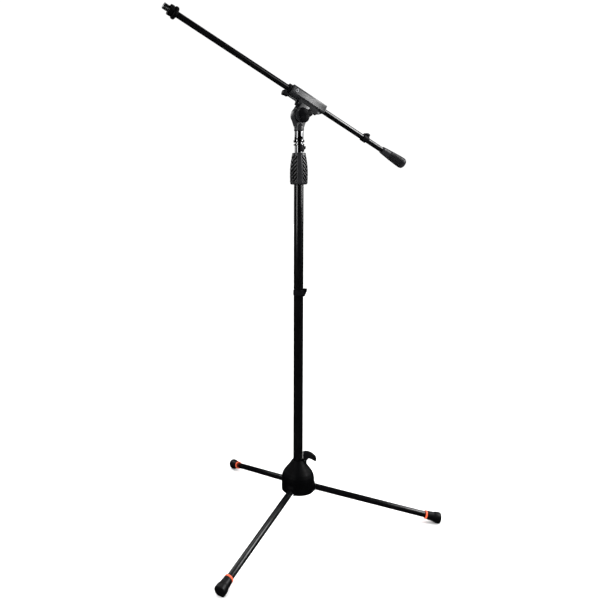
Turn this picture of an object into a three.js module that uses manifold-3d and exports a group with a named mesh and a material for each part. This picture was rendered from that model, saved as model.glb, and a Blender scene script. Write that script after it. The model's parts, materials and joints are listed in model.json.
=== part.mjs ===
// Boom microphone stand: a folding tripod, a telescopic column and a tilting boom.
// Millimetres, +Z up. Every piece is placed from the foot of the column axis, and the whole is then moved
// so that the origin is on the floor under the middle of the object. The boom lies in a plane of constant
// Y with its microphone end towards -X. Legs stand at 90, -30 and -150 degrees about Z.

import * as THREE from 'three';
import { mergeVertices } from 'three/addons/utils/BufferGeometryUtils.js';
import Module from 'manifold-3d';

const wasm = await Module();
wasm.setup();

// ---- driving dimensions -------------------------------------------------------------------------

const COLUMN_X = 5.7; // column axis, from the middle of the object
const COLUMN_Y = -89.9;

const GAP = 0.3; // clearance between pieces that touch

const COLUMN_R = 12.7; // 1 inch outer tube
const COLUMN_WALL = 1.2;
const COLUMN_BOTTOM = 92;
const COLUMN_TOP = 948;
const MAST_R = 11; // 22 mm inner tube
const MAST_WALL = 1.2;
const MAST_BOTTOM = 135;
const MAST_TOP = 1000;

const LEG_AZIMUTHS = { rear: 90, right: -30, front: -150 };
const LEG_SLOPE = 13.9; // degrees below horizontal when spread
const LEG_R = 8; // 16 mm leg tube
const LEG_WALL = 1.2;
const PIN_X = 28; // leg pin, measured from the column axis
const PIN_Z = 98; // height of the leg pins
const EYE_R = 8; // round eye of a leg and of its lugs
const TONGUE_HALF = 4;
const LUG_HALF = 8.4;
const LEG_START = 9.6; // the next five are distances along a leg from its pin
const TRIM_START = 318.8;
const TRIM_END = 326.8;
const FOOT_END = 359.5;
const TUBE_END = 346;

const HUB_R = 43.3;
const HUB_BOTTOM = 86;
const HUB_WALL = 2.6;
const SLEEVE_R = 17.5;
const SLEEVE_TOP = 146;

const RELEASE_AZIMUTH = LEG_AZIMUTHS.right;
const LATCH_Z = PIN_Z + EYE_R + 0.6;
const LATCH_THICK = 4;
const STEM_IN = 17.9;
const STEM_OUT = 23;
const STEM_TOP = 177;

const GRIP_BOTTOM = 899;
const GRIP_TOP = 980.5;

const PIVOT_Z = 1076.5;
const BOOM_TILT = 24.6; // degrees, microphone end up
const BOOM_OFFSET = 48; // boom axis above the tilt pivot
const BOOM_R = 7.5; // 15 mm boom tube
const BOOM_WALL = 1.2;
const BOOM_TIP = -402; // along the boom from the pivot, minus is the microphone end
const BOOM_TAIL = 352;
const GRIP_END = 372.8;
const THREAD_R = 7.9; // 5/8 inch microphone thread
const EAR_R = 18;
const KNUCKLE_R = 21.3;
const KNUCKLE_HALF = 8;
const EAR_IN = 9.5;
const EAR_OUT = 14;
const BOLT_R = 4;

const LEVER_PIN_X = 45;
const LEVER_PIN_Z = 32.2;
const LEVER_ROD_Z = 30.8;

const COLUMN_CLIP_Z = 616;
const MAST_CLIP_Z = 991.8;
const BOOM_CLIP_X = 217;
const CLIP_AZIMUTH = -40; // side of the column on which its cable loop stands

// ---- materials ----------------------------------------------------------------------------------

const finish = (color, roughness, metalness) =>
  new THREE.MeshStandardMaterial({ color, roughness, metalness });

const BLACK_PAINT = finish(0x0b0b0d, 0.25, 0.1);
const CAST_BLACK = finish(0x1a1b1e, 0.5, 0.2);
const CAST_GREY = finish(0x6d6f73, 0.45, 0.4);
const CHROME = finish(0xd9dbdd, 0.12, 1);
const STEEL = finish(0x9a9c9f, 0.35, 1);
const BLACK_NYLON = finish(0x121214, 0.55, 0);
const RUBBER = finish(0x161618, 0.85, 0);
const ORANGE = finish(0xd9542a, 0.5, 0);
const BRASS = finish(0xb08a45, 0.35, 1);

// ---- solids -------------------------------------------------------------------------------------

const rad = THREE.MathUtils.degToRad;

function signedVolume(positions, triangles) {
  let sum = 0;
  const a = new THREE.Vector3();
  const b = new THREE.Vector3();
  const c = new THREE.Vector3();
  for (let i = 0; i < triangles.length; i += 3) {
    a.fromArray(positions, 3 * triangles[i]);
    b.fromArray(positions, 3 * triangles[i + 1]);
    c.fromArray(positions, 3 * triangles[i + 2]);
    sum += a.dot(b.cross(c));
  }
  return sum / 6;
}

// A closed geometry becomes a solid: shared corners merged, empty triangles dropped, faces pointing out.
function solid(geometry) {
  const bare = geometry.index ? geometry.toNonIndexed() : geometry.clone();
  bare.deleteAttribute('normal');
  bare.deleteAttribute('uv');
  const merged = mergeVertices(bare, 1e-4);
  const corners = merged.index.array;
  const triangles = [];
  for (let i = 0; i < corners.length; i += 3) {
    const [a, b, c] = [corners[i], corners[i + 1], corners[i + 2]];
    if (a !== b && b !== c && c !== a) triangles.push(a, b, c);
  }
  const positions = merged.attributes.position.array;
  if (signedVolume(positions, triangles) < 0) triangles.reverse();
  return new wasm.Manifold(new wasm.Mesh({
    numProp: 3,
    vertProperties: new Float32Array(positions),
    triVerts: new Uint32Array(triangles),
  }));
}

const join = (first, ...rest) => rest.reduce((sum, next) => sum.add(next), first);
const cut = (first, ...rest) => rest.reduce((left, next) => left.subtract(next), first);

function box(x0, x1, y0, y1, z0, z1) {
  const geometry = new THREE.BoxGeometry(x1 - x0, y1 - y0, z1 - z0);
  geometry.translate((x0 + x1) / 2, (y0 + y1) / 2, (z0 + z1) / 2);
  return solid(geometry);
}

// Turns a solid's Z axis to another axis, then moves it.
function settle(geometry, axis, [x, y, z]) {
  if (axis === 'x') geometry.rotateY(Math.PI / 2);
  if (axis === 'y') geometry.rotateX(-Math.PI / 2);
  geometry.translate(x, y, z);
  return solid(geometry);
}

// Revolves an outline of [radius, height] points about an axis.
function revolve(outline, segments = 24, axis = 'z', at = [0, 0, 0]) {
  const points = outline.map(([radius, height]) => new THREE.Vector2(radius, height));
  const geometry = new THREE.LatheGeometry(points, segments);
  geometry.rotateX(Math.PI / 2);
  return settle(geometry, axis, at);
}

const rod = (radius, from, to, segments = 24, axis = 'z', at = [0, 0, 0]) =>
  revolve([[0, from], [radius, from], [radius, to], [0, to]], segments, axis, at);

const pipe = (inner, outer, from, to, segments = 24, axis = 'z', at = [0, 0, 0]) =>
  revolve([[inner, from], [outer, from], [outer, to], [inner, to], [inner, from]], segments, axis, at);

const outlineShape = (points) => new THREE.Shape(points.map(([u, v]) => new THREE.Vector2(u, v)));

function arc(centreU, centreV, radius, from, to, steps = 12) {
  const points = [];
  for (let i = 0; i <= steps; i += 1) {
    const angle = rad(from + ((to - from) * i) / steps);
    points.push([centreU + radius * Math.cos(angle), centreV + radius * Math.sin(angle)]);
  }
  return points;
}

// An outline in XZ, given depth along Y.
function slab(points, y0, y1) {
  const geometry = new THREE.ExtrudeGeometry(outlineShape(points), { depth: y1 - y0, bevelEnabled: false });
  geometry.rotateX(Math.PI / 2);
  geometry.translate(0, y1, 0);
  return solid(geometry);
}

// An outline in XY, given height along Z.
function plate(points, z0, z1) {
  const geometry = new THREE.ExtrudeGeometry(outlineShape(points), { depth: z1 - z0, bevelEnabled: false });
  geometry.translate(0, 0, z0);
  return solid(geometry);
}

// An outline in YZ, given length along X.
function bar(points, x0, x1) {
  const geometry = new THREE.ExtrudeGeometry(outlineShape(points), { depth: x1 - x0, bevelEnabled: false });
  geometry.rotateX(Math.PI / 2);
  geometry.rotateZ(Math.PI / 2);
  geometry.translate(x0, 0, 0);
  return solid(geometry);
}

function turnedCopies(piece, angles) {
  return angles.map((angle) => {
    const turn = new THREE.Matrix4().makeRotationZ(rad(angle));
    return piece.transform(turn.elements);
  });
}

const stand = new THREE.Group();
stand.position.set(COLUMN_X, COLUMN_Y, 0);

function addPart(name, shape, material, parent = stand) {
  const { numProp, vertProperties, triVerts } = shape.getMesh();
  const positions = new Float32Array((vertProperties.length / numProp) * 3);
  for (let i = 0; i < positions.length / 3; i += 1) {
    positions.set(vertProperties.subarray(i * numProp, i * numProp + 3), i * 3);
  }
  const geometry = new THREE.BufferGeometry();
  geometry.setAttribute('position', new THREE.BufferAttribute(positions, 3));
  geometry.setIndex(new THREE.BufferAttribute(new Uint32Array(triVerts), 1));
  geometry.computeVertexNormals();
  const mesh = new THREE.Mesh(geometry, material);
  mesh.name = name;
  parent.add(mesh);
}

function turnedGroup(azimuth) {
  const group = new THREE.Group();
  group.rotation.z = rad(azimuth);
  stand.add(group);
  return group;
}

// ---- hub ----------------------------------------------------------------------------------------

const legAngles = Object.values(LEG_AZIMUTHS);
const betweenLegs = legAngles.map((angle) => angle + 60);

function makeHubCore() {
  const sleeve = pipe(13.1, SLEEVE_R, HUB_BOTTOM + 3, SLEEVE_TOP);
  const flange = pipe(15, 27.5, 136, 139);
  const lugOutline = [
    [15, PIN_Z - 6],
    [PIN_X - 5.3, PIN_Z - 6],
    ...arc(PIN_X, PIN_Z, EYE_R, -120, 90),
    [15, PIN_Z + EYE_R],
  ];
  const lugPair = join(
    slab(lugOutline, TONGUE_HALF + 0.4, LUG_HALF),
    slab(lugOutline, -LUG_HALF, -TONGUE_HALF - 0.4),
  );
  const pinHole = rod(2.9, -12, 12, 12, 'y', [PIN_X, 0, PIN_Z]);
  const lugs = turnedCopies(cut(lugPair, pinHole), legAngles);
  const stemSlot = box(17.6, 23.4, -5.5, 5.5, 130, 150);
  const screwHole = rod(1.9, 80, 100, 12, 'z', [15.3, 0, 0]);
  return cut(
    join(sleeve, flange, ...lugs),
    ...turnedCopies(stemSlot, [RELEASE_AZIMUTH]),
    ...turnedCopies(screwHole, betweenLegs),
  );
}

function makeHubCover() {
  const outline = [
    [HUB_R - 1.4, HUB_BOTTOM], [HUB_R, HUB_BOTTOM + 2], [HUB_R, 119.5], [41.8, 127.5], [38.2, 135.5],
    [30, 146.5], [21.6, 157], [16.4, 165.2], [14.8, 166.5], [13.2, 166.5],
    [13.2, 162.5], [18, 156.2], [27.2, 144.8], [35.4, 134], [39.1, 126.6], [HUB_R - HUB_WALL, 119],
    [HUB_R - HUB_WALL, HUB_BOTTOM], [HUB_R - 1.4, HUB_BOTTOM],
  ];
  const shell = revolve(outline, 36);
  const boss = slab([
    [40, HUB_BOTTOM], [46, HUB_BOTTOM], [46.6, HUB_BOTTOM + 1], [46, 107], [43, 112], [40, 112],
  ], -12, 12);
  const roundTop = rod(8.9, 0, 60, 20, 'z');
  const tilt = new THREE.Matrix4().makeRotationY(rad(90 + LEG_SLOPE)).setPosition(PIN_X, 0, PIN_Z);
  const legWay = join(roundTop.transform(tilt.elements), box(30, 60, -8.9, 8.9, HUB_BOTTOM - 6, 92));
  const stemSlot = box(17.4, 23.5, -5.6, 5.6, 140, 170);
  return cut(
    join(shell, ...turnedCopies(boss, legAngles)),
    ...turnedCopies(legWay, legAngles),
    ...turnedCopies(stemSlot, [RELEASE_AZIMUTH]),
  );
}

function makeBottomPlate() {
  const disc = rod(HUB_R - HUB_WALL - 0.5, HUB_BOTTOM + 0.2, HUB_BOTTOM + 2.7, 36);
  const notch = box(19.4, 45, -8.9, 8.9, HUB_BOTTOM - 2, HUB_BOTTOM + 5);
  const screwHole = rod(1.9, 80, 100, 12, 'z', [15.3, 0, 0]);
  return cut(disc, ...turnedCopies(notch, legAngles), ...turnedCopies(screwHole, betweenLegs));
}

function makePlateScrew() {
  return revolve([[0, -2], [2.6, -2], [3.2, -1.2], [3.2, -GAP], [1.5, -GAP], [1.5, 10], [0, 10]], 12);
}

class Helix extends THREE.Curve {
  constructor(radius, bottom, height, turns) {
    super();
    this.radius = radius;
    this.bottom = bottom;
    this.height = height;
    this.turns = turns;
  }

  getPoint(t, target = new THREE.Vector3()) {
    const angle = 2 * Math.PI * this.turns * t;
    return target.set(
      this.radius * Math.cos(angle),
      this.radius * Math.sin(angle),
      this.bottom + this.height * t,
    );
  }
}

function makeLatchSpring() {
  const wire = 0.9;
  const bottom = LATCH_Z + LATCH_THICK + wire + GAP;
  const path = new Helix(25.2, bottom, 136 - GAP - wire - bottom, 4);
  const section = outlineShape(arc(0, 0, wire, 0, 300, 5));
  return solid(new THREE.ExtrudeGeometry(section, { steps: 56, extrudePath: path, bevelEnabled: false }));
}

addPart('hub_core', makeHubCore(), CAST_BLACK);
addPart('hub_cover', makeHubCover(), CAST_BLACK);
addPart('hub_bottom_plate', makeBottomPlate(), BLACK_NYLON);
betweenLegs.forEach((angle, i) => {
  const group = turnedGroup(angle);
  const screws = new THREE.Group();
  screws.position.set(15.3, 0, HUB_BOTTOM + 0.2);
  group.add(screws);
  addPart(`plate_screw_${i + 1}`, makePlateScrew(), STEEL, screws);
});
addPart('latch_spring', makeLatchSpring(), STEEL);

// ---- release handle: a brake ring over the leg eyes, a flat stem and a finger hook ----------------

function makeLatchRing() {
  const ring = pipe(18, 33.4, LATCH_Z, LATCH_Z + LATCH_THICK);
  return join(ring, box(STEM_IN, STEM_OUT, -5, 5, LATCH_Z, STEM_TOP));
}

function makeFingerHook() {
  const outline = [
    [13.4, 168], [13.4, 185], [15.4, 187.4], [20, 188.2], [27, 187.8],
    [35, 184.6], [42, 180], [47, 175.4], [48.8, 172], [48.8, 167.6], [47, 165.2], [44.4, 165],
    [39, 168], [33.5, 170.8], [29, 172.4], [26.4, 171.6], [24.6, 168],
  ];
  const hook = slab(outline, -8, 8);
  return cut(hook, box(STEM_IN - GAP, STEM_OUT + GAP, -5 - GAP, 5 + GAP, 150, STEM_TOP + GAP));
}

const releaseGroup = turnedGroup(RELEASE_AZIMUTH);
addPart('latch_ring', makeLatchRing(), STEEL, releaseGroup);
addPart('finger_hook', makeFingerHook(), BLACK_NYLON, releaseGroup);

// ---- legs ---------------------------------------------------------------------------------------

// In a leg's own frame X runs along the leg from its pin.
function makeKnuckle() {
  const tongue = slab([
    ...arc(0, 0, EYE_R, 50, 310, 14), [9.4, -6.1], [9.4, 6.1],
  ], -TONGUE_HALF, TONGUE_HALF);
  const plug = rod(LEG_R - LEG_WALL - GAP, 8.9, 44, 20, 'x');
  return cut(join(tongue, plug), rod(2.9, -10, 10, 12, 'y'));
}

const makeLegTube = () => pipe(LEG_R - LEG_WALL, LEG_R, LEG_START, TUBE_END, 20, 'x');
const makeTrimRing = () => pipe(LEG_R + GAP, 10.8, TRIM_START, TRIM_END, 20, 'x');

// The boot flares outwards and is cut flat where it stands on the floor.
function makeFoot(floorCut) {
  const bore = LEG_R + GAP;
  const start = TRIM_END + GAP;
  const outline = [
    [bore, start], [10.9, start], [11.6, start + 3], [13.4, FOOT_END - 9], [14.3, FOOT_END - 4],
    [14.3, FOOT_END - 1.2], [13.2, FOOT_END], [0, FOOT_END], [0, TUBE_END + 1.5], [bore, TUBE_END + 1.5],
    [bore, start],
  ];
  return cut(revolve(outline, 24, 'x'), floorCut);
}

// Everything below the floor, in the leg's own frame.
function belowFloor() {
  const half = 60;
  const geometry = new THREE.BoxGeometry(4 * half, 2 * half, 2 * half);
  geometry.translate(350, 0, -half);
  const intoLeg = new THREE.Matrix4().makeRotationY(rad(-LEG_SLOPE));
  intoLeg.multiply(new THREE.Matrix4().makeTranslation(-PIN_X, 0, -PIN_Z));
  geometry.applyMatrix4(intoLeg);
  return solid(geometry);
}

for (const [place, azimuth] of Object.entries(LEG_AZIMUTHS)) {
  const hinge = new THREE.Group();
  hinge.position.set(PIN_X, 0, PIN_Z);
  turnedGroup(azimuth).add(hinge);
  addPart(`leg_pin_${place}`, rod(2.5, -LUG_HALF + 0.1, LUG_HALF - 0.1, 12, 'y'), STEEL, hinge);
  const leg = new THREE.Group();
  leg.rotation.y = rad(LEG_SLOPE);
  hinge.add(leg);
  addPart(`leg_knuckle_${place}`, makeKnuckle(), CAST_BLACK, leg);
  addPart(`leg_tube_${place}`, makeLegTube(), BLACK_PAINT, leg);
  addPart(`leg_trim_${place}`, makeTrimRing(), ORANGE, leg);
  addPart(`leg_foot_${place}`, makeFoot(belowFloor()), RUBBER, leg);
}

// ---- column -------------------------------------------------------------------------------------

function makeTwistGrip() {
  return revolve([
    [16.2, GRIP_BOTTOM + 2], [19.5, GRIP_BOTTOM], [22, GRIP_BOTTOM + 1.5], [23, GRIP_BOTTOM + 6],
    [23.4, 922], [23.2, 937], [22.2, 950], [20.4, 963], [18.4, 975], [17.9, GRIP_TOP - 1.3],
    [17, GRIP_TOP], [13.2, GRIP_TOP],
    [13.2, 967], [16.2, 964], [16.2, GRIP_BOTTOM + 2],
  ], 36);
}

function makeCollet() {
  return cut(pipe(MAST_R + GAP + 0.1, 12.8, COLUMN_TOP + 0.5, 974), box(0, 20, -0.8, 0.8, 944, 980));
}

addPart('column_tube', pipe(COLUMN_R - COLUMN_WALL, COLUMN_R, COLUMN_BOTTOM, COLUMN_TOP), BLACK_PAINT);
addPart('column_end_plug', revolve([
  [0, COLUMN_BOTTOM - 2.8], [12.4, COLUMN_BOTTOM - 2.8], [12.4, COLUMN_BOTTOM - GAP],
  [COLUMN_R - COLUMN_WALL - 0.4, COLUMN_BOTTOM - GAP], [COLUMN_R - COLUMN_WALL - 0.4, COLUMN_BOTTOM + 14],
  [0, COLUMN_BOTTOM + 14],
]), BLACK_NYLON);
addPart('clutch_body', pipe(13.1, 15.7, GRIP_BOTTOM + 5, 962), CAST_GREY);
addPart('clutch_collet', makeCollet(), BLACK_NYLON);
addPart('twist_grip', makeTwistGrip(), RUBBER);
addPart('mast_tube', pipe(MAST_R - MAST_WALL, MAST_R, MAST_BOTTOM, MAST_TOP), CHROME);

// A snap-on cable clip: an open ring round a tube, with an open loop for the cable on its +X side. The loop
// is full height at its +Z end and is raked down to the ring at the other.
function makeCableClip(tubeRadius, length, loopLength, loopBore, mouthHalf) {
  const inner = tubeRadius + GAP + 0.1;
  const outer = inner + 2.4;
  const loopX = inner + 1.2 + loopBore;
  const top = loopX + loopBore + 2;
  const ring = pipe(inner, outer, -length / 2, length / 2, 24);
  const mouth = plate([[0, 0], ...arc(0, 0, 40, 180 - mouthHalf, 180 + mouthHalf, 4)], -length, length);
  const loop = rod(loopBore + 1.8, -loopLength / 2, loopLength / 2, 16, 'z', [loopX, 0, 0]);
  const bore = rod(loopBore, -20, 20, 16, 'z', [loopX, 0, 0]);
  const slot = plate([[loopX, 0], [loopX + 20, 3.5], [loopX + 20, -20], [loopX - 3, -20]], -20, 20);
  const rake = slab([
    [outer + 0.4, -loopLength / 2 - 0.1], [top, loopLength / 2 - 5], [top + 4, loopLength / 2 - 5],
    [top + 4, -loopLength / 2 - 0.1],
  ], -20, 20);
  const tubeWay = rod(inner, -20, 20, 24);
  return cut(join(cut(ring, mouth), loop), bore, slot, rake, tubeWay);
}

function placeClip(name, clip, parent, position, turn) {
  const group = new THREE.Group();
  group.position.set(...position);
  group.rotation.set(...turn.map(rad));
  parent.add(group);
  addPart(name, clip, BLACK_NYLON, group);
}

const columnClip = makeCableClip(COLUMN_R, 13, 21, 3.2, 33);
const mastClip = makeCableClip(MAST_R, 15.6, 15.6, 4.2, 68);
placeClip('column_clip', columnClip, stand, [0, 0, COLUMN_CLIP_Z], [0, 0, CLIP_AZIMUTH]);
placeClip('mast_clip', mastClip, stand, [0, 0, MAST_CLIP_Z], [0, 0, 0]);

// ---- head: threaded stub, jam nut, socket and knuckle ---------------------------------------------

function makeMastStub() {
  const plug = MAST_R - MAST_WALL - GAP - 0.1;
  return revolve([
    [0, MAST_TOP - 26], [plug, MAST_TOP - 26], [plug, MAST_TOP + GAP], [14.2, MAST_TOP + GAP],
    [14.2, MAST_TOP + 3.5], [10.8, MAST_TOP + 3.5], [10.8, MAST_TOP + 8], [THREAD_R, MAST_TOP + 8],
    [THREAD_R, MAST_TOP + 46], [THREAD_R - 1, MAST_TOP + 47], [0, MAST_TOP + 47],
  ]);
}

function makeKnuckleYoke() {
  const neck = revolve([
    [0, 1037.2], [12, 1037.2], [12.9, 1038.4], [12.9, 1049], [7.8, 1056.4], [0, 1058],
  ]);
  const outline = [
    [-11, 1046], [11, 1046], ...arc(0, PIVOT_Z, KNUCKLE_R, -22, 202, 22),
  ];
  const tongue = slab(outline, -KNUCKLE_HALF, KNUCKLE_HALF);
  const socketBore = rod(9.9, 1036, 1053, 24);
  const boltBore = rod(BOLT_R + 0.4, -20, 20, 16, 'y', [0, 0, PIVOT_Z]);
  return cut(join(neck, tongue), socketBore, boltBore);
}

addPart('mast_stub', makeMastStub(), CHROME);
addPart('jam_nut', pipe(THREAD_R + 0.4, 14.3, 1008.3, 1014.3), CHROME);
addPart('head_socket', revolve([
  [THREAD_R + 0.4, 1014.7], [11.9, 1014.7], [11.9, 1036.8], [9.5, 1036.8], [9.5, 1052.5],
  [THREAD_R + 0.4, 1052.5], [THREAD_R + 0.4, 1014.7],
]), CHROME);
addPart('tilt_knuckle', makeKnuckleYoke(), CAST_GREY);

// ---- boom clamp, in a frame at the tilt pivot with X along the boom towards its tail ----------------

const clampFrame = new THREE.Group();
clampFrame.position.set(0, 0, PIVOT_Z);
clampFrame.rotation.y = rad(BOOM_TILT);
stand.add(clampFrame);

const BLOCK_FRONT = -53.5; // ends of the block along the boom
const BLOCK_BACK = 59.5;
const BLOCK_UNDER = BOOM_OFFSET - 10.7;
const BLOCK_HALF = 16;
const BLOCK_TOP = BOOM_OFFSET + 11;
const WASHER_R = 19.5;
const EAR_TOP = 25.2;
const FLANGE_R = 12.6;
const FLANGE_FRONT = BLOCK_FRONT - 6.6;
const LINER_SCREW_X = -41;
const LINER_SCREW_Z = BOOM_OFFSET - 0.5;

function makeClampBody() {
  const block = bar([
    [-BLOCK_HALF + 2.6, BLOCK_UNDER], [BLOCK_HALF - 2.6, BLOCK_UNDER], [BLOCK_HALF, BLOCK_UNDER + 2.8],
    [BLOCK_HALF, BLOCK_TOP - 1.2], [BLOCK_HALF - 1.2, BLOCK_TOP],
    [-BLOCK_HALF + 1.2, BLOCK_TOP], [-BLOCK_HALF, BLOCK_TOP - 1.2], [-BLOCK_HALF, BLOCK_UNDER + 2.8],
  ], BLOCK_FRONT, BLOCK_BACK);
  const rail = bar([[6.5, 23.4], [10.2, 23.4], [13.3, BLOCK_UNDER + 0.5], [6.5, BLOCK_UNDER + 0.5]], -20, 40);
  const ear = slab([
    [-13, EAR_TOP], ...arc(0, 0, EAR_R, 165, 400, 20), [15, EAR_TOP],
  ], EAR_IN, EAR_OUT);
  const lug = slab([
    [39, BLOCK_UNDER + 0.5], [39, 30],
    ...arc(LEVER_PIN_X, LEVER_PIN_Z, 4.4, 210, 360, 6),
    [51, BLOCK_UNDER + 0.5],
  ], 5.4, 9);
  const side = join(rail, ear, lug);
  const mirror = new THREE.Matrix4().makeScale(1, -1, 1);
  const body = join(block, side, side.transform(mirror.elements));
  return cut(
    body,
    rod(9.35, BLOCK_FRONT - 1, BLOCK_BACK + 1, 24, 'x', [0, 0, BOOM_OFFSET]),
    rod(BOLT_R + 0.4, -20, 20, 16, 'y'),
    rod(2.1, -20, 20, 12, 'y', [LEVER_PIN_X, 0, LEVER_PIN_Z]),
    box(35.5, 50.5, -5.1, 5.1, BLOCK_UNDER - 1, BOOM_OFFSET - 5),
    rod(2.6, -20, -11.6, 12, 'y', [LINER_SCREW_X, 0, LINER_SCREW_Z]),
    rod(6.6, -20, -BLOCK_HALF + 1.2, 20, 'y', [LINER_SCREW_X, 0, LINER_SCREW_Z]),
  );
}

function makeTiltKnob() {
  const lobes = 3;
  const steps = 36;
  const points = [];
  for (let i = 0; i < steps; i += 1) {
    const angle = (360 * i) / steps;
    const radius = 17.2 + 4.3 * Math.cos(rad(lobes * (angle - 45)));
    points.push([radius * Math.cos(rad(angle)), radius * Math.sin(rad(angle))]);
  }
  const head = slab(points, -40, -20);
  const face = revolve([[0, 18], [17.5, 18], [25, 20], [25, 35], [17, 41], [0, 41]], 24, 'y');
  const turnedFace = face.transform(new THREE.Matrix4().makeRotationX(Math.PI).elements);
  const rounded = head.intersect(turnedFace);
  const boss = rod(9.5, -21, -EAR_OUT - 0.6, 20, 'y');
  return cut(join(rounded, boss), rod(BOLT_R + 0.4, -34, 0, 16, 'y'), rod(6.4, -24, 0, 6, 'y'));
}

const makeKnobInsert = () => pipe(BOLT_R + 0.4, 5.4, -23.6, -15.2, 12, 'y');

function makePivotBolt() {
  return revolve([
    [0, -33], [BOLT_R, -33], [BOLT_R, EAR_OUT + GAP], [7.6, EAR_OUT + GAP], [7.6, EAR_OUT + 4.4],
    [6, EAR_OUT + 5.2], [0, EAR_OUT + 5.2],
  ], 16, 'y');
}

function makeLever() {
  const cam = slab(arc(LEVER_PIN_X, LEVER_PIN_Z, 3.6, 0, 350, 20), -4.8, 4.8);
  const shank = rod(2.4, -62, LEVER_PIN_X - 1, 12, 'x', [0, 0, LEVER_ROD_Z]);
  return cut(join(cam, shank), rod(2.1, -20, 20, 12, 'y', [LEVER_PIN_X, 0, LEVER_PIN_Z]));
}

function makeLeverTip() {
  const middle = LEVER_ROD_Z;
  const tip = slab([
    [-52, middle - 3.6], [-52, middle + 3.8], [-61.2, middle + 3.8], [-62, middle + 7.6],
    [-63.4, middle + 8.6], [-66.6, middle + 8.6], [-68.8, middle + 6.8], [-69.6, middle + 2],
    [-68.8, middle - 3], [-67, middle - 5.6], [-64.6, middle - 6], [-61.6, middle - 4],
  ], -6.5, 6.5);
  return cut(tip, rod(2.8, -62.4, -50, 12, 'x', [0, 0, middle]));
}

// A pan-head screw driven into the near side of the block.
function makeLinerScrew() {
  const shape = revolve([
    [0, 11.9], [2.2, 11.9], [2.2, 15.2], [6.2, 15.2], [6.2, 16.6], [5.2, 17.4], [0, 17.4],
  ], 20, 'y');
  const turn = new THREE.Matrix4().makeRotationX(Math.PI).setPosition(LINER_SCREW_X, 0, LINER_SCREW_Z);
  return shape.transform(turn.elements);
}

const boomPipe = (inner, outer, from, to, segments = 24) =>
  pipe(inner, outer, from, to, segments, 'x', [0, 0, BOOM_OFFSET]);

addPart('clamp_body', makeClampBody(), CAST_GREY, clampFrame);
addPart('friction_washer_near', pipe(BOLT_R + 0.5, WASHER_R, -9.2, -8.3, 24, 'y'), STEEL, clampFrame);
addPart('friction_washer_far', pipe(BOLT_R + 0.5, WASHER_R, 8.3, 9.2, 24, 'y'), STEEL, clampFrame);
addPart('pivot_bolt', makePivotBolt(), STEEL, clampFrame);
addPart('lever_pin', rod(1.8, -8.9, 8.9, 12, 'y', [LEVER_PIN_X, 0, LEVER_PIN_Z]), STEEL, clampFrame);
addPart('liner_screw', makeLinerScrew(), STEEL, clampFrame);
addPart('tilt_knob', makeTiltKnob(), BLACK_NYLON, clampFrame);
addPart('knob_insert', makeKnobInsert(), BRASS, clampFrame);
addPart('clamp_lever', makeLever(), CHROME, clampFrame);
addPart('lever_tip', makeLeverTip(), BLACK_NYLON, clampFrame);
addPart('brake_shoe', box(35.9, 50.1, -4.7, 4.7, 36.2, 38.7), BLACK_NYLON, clampFrame);

// ---- boom ---------------------------------------------------------------------------------------

function makeTipStub() {
  return revolve([
    [0, BOOM_TIP - 29], [THREAD_R - 1, BOOM_TIP - 29], [THREAD_R, BOOM_TIP - 28], [THREAD_R, BOOM_TIP - 3],
    [BOOM_R, BOOM_TIP - 3], [BOOM_R, BOOM_TIP - GAP], [BOOM_R - BOOM_WALL - GAP, BOOM_TIP - GAP],
    [BOOM_R - BOOM_WALL - GAP, BOOM_TIP + 24], [0, BOOM_TIP + 24],
  ], 24, 'x', [0, 0, BOOM_OFFSET]);
}

// A broad rounded collar fixed on the end of the boom tube.
function makeEndCollar() {
  return revolve([
    [BOOM_R + GAP, BOOM_TIP - 2.8], [13.6, BOOM_TIP - 2.8], [15.3, BOOM_TIP - 1.2], [15.9, BOOM_TIP + 1.4],
    [15.6, BOOM_TIP + 4.6], [14, BOOM_TIP + 6.6], [11, BOOM_TIP + 7.4], [BOOM_R + GAP, BOOM_TIP + 7.4],
    [BOOM_R + GAP, BOOM_TIP - 2.8],
  ], 24, 'x', [0, 0, BOOM_OFFSET]);
}

function makeLockRing() {
  const points = [];
  const lobes = 9;
  const steps = 36;
  for (let i = 0; i < steps; i += 1) {
    const angle = (2 * Math.PI * i) / steps;
    const radius = 12.9 + 0.7 * Math.cos(lobes * angle);
    points.push([radius * Math.cos(angle), BOOM_OFFSET + radius * Math.sin(angle)]);
  }
  const ring = bar(points, BOOM_TIP - 14.4, BOOM_TIP - 3.2);
  return cut(ring, rod(THREAD_R + 0.4, BOOM_TIP - 30, BOOM_TIP, 24, 'x', [0, 0, BOOM_OFFSET]));
}

function makeTailGrip() {
  const bore = BOOM_R + GAP + 0.1;
  return revolve([
    [bore, 284], [9.1, 284], [10, 287], [13, 322], [15, 352], [15.4, 364], [14, GRIP_END - 3],
    [10.6, GRIP_END], [0, GRIP_END], [0, BOOM_TAIL + 2], [bore, BOOM_TAIL + 2], [bore, 284],
  ], 24, 'x', [0, 0, BOOM_OFFSET]);
}

// The sleeve the boom runs in, with a flange against the front of the block.
function makeBoomLiner() {
  const bore = BOOM_R + 0.4;
  return revolve([
    [bore, FLANGE_FRONT], [FLANGE_R - 1, FLANGE_FRONT], [FLANGE_R, FLANGE_FRONT + 1],
    [FLANGE_R, BLOCK_FRONT - GAP], [8.9, BLOCK_FRONT - GAP], [8.9, BLOCK_BACK - 0.5],
    [bore, BLOCK_BACK - 0.5], [bore, FLANGE_FRONT],
  ], 24, 'x', [0, 0, BOOM_OFFSET]);
}

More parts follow.
